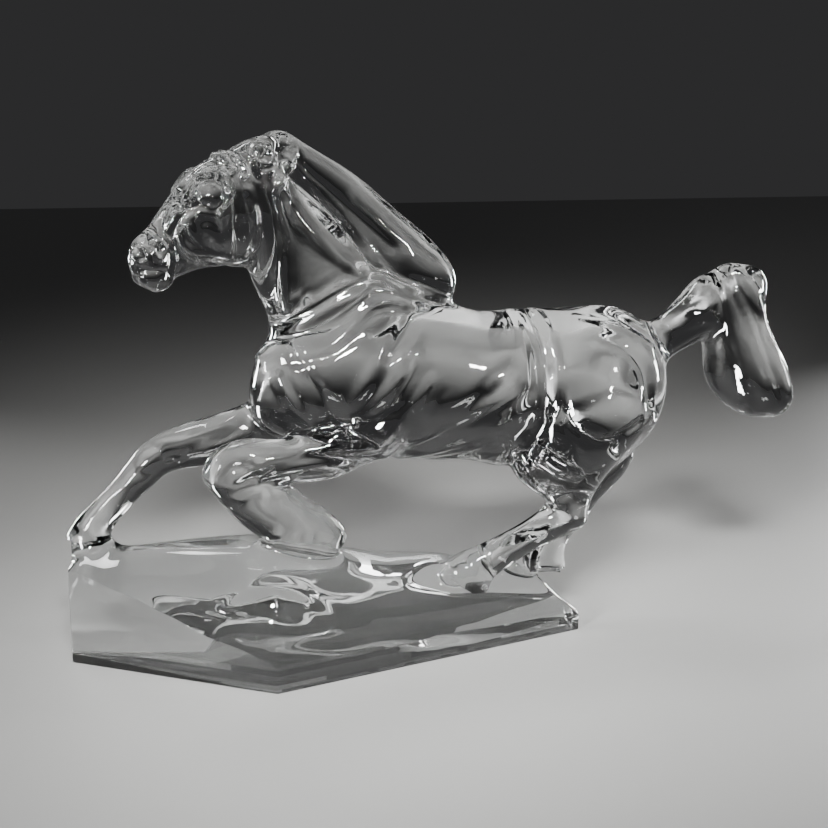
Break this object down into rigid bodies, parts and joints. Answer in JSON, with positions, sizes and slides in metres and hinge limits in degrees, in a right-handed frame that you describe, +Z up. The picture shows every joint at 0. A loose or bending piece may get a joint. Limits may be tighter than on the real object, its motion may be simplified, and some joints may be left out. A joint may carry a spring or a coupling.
{
  "type": "glass horse figurine",
  "caption": "Clear crystal figurine of a galloping horse with streaming mane and tail, on a cut and polished lozenge-shaped block that stands on its flat underside.",
  "frame": {"origin": "centre of the plinth's flat underside, which rests on the table", "axes": "+Z up; the horse gallops towards -X with its tail towards +X; its left side, the side seen in the usual display, faces -Y"},
  "size_m": [0.2592, 0.084, 0.1746],
  "materials": {
    "crystal": "fire-polished clear lead crystal, with cut and polished walls on the plinth"
  },
  "bodies": {
    "root": {"plinth": "crystal", "forequarters": "crystal", "barrel": "crystal", "hindquarters": "crystal", "neck": "crystal", "mane": "crystal", "forelock": "crystal", "left_ear": "crystal", "right_ear": "crystal", "head": "crystal", "muzzle": "crystal", "tail_dock": "crystal", "tail_brush": "crystal", "left_thigh": "crystal", "right_thigh": "crystal", "left_hind_cannon": "crystal", "right_hind_cannon": "crystal", "left_hind_hoof": "crystal", "right_hind_hoof": "crystal", "heel_web": "crystal", "left_forearm": "crystal", "right_forearm": "crystal", "left_fore_cannon": "crystal", "right_fore_cannon": "crystal", "left_fore_hoof": "crystal", "right_fore_hoof": "crystal"}
  },
  "joints": []
}
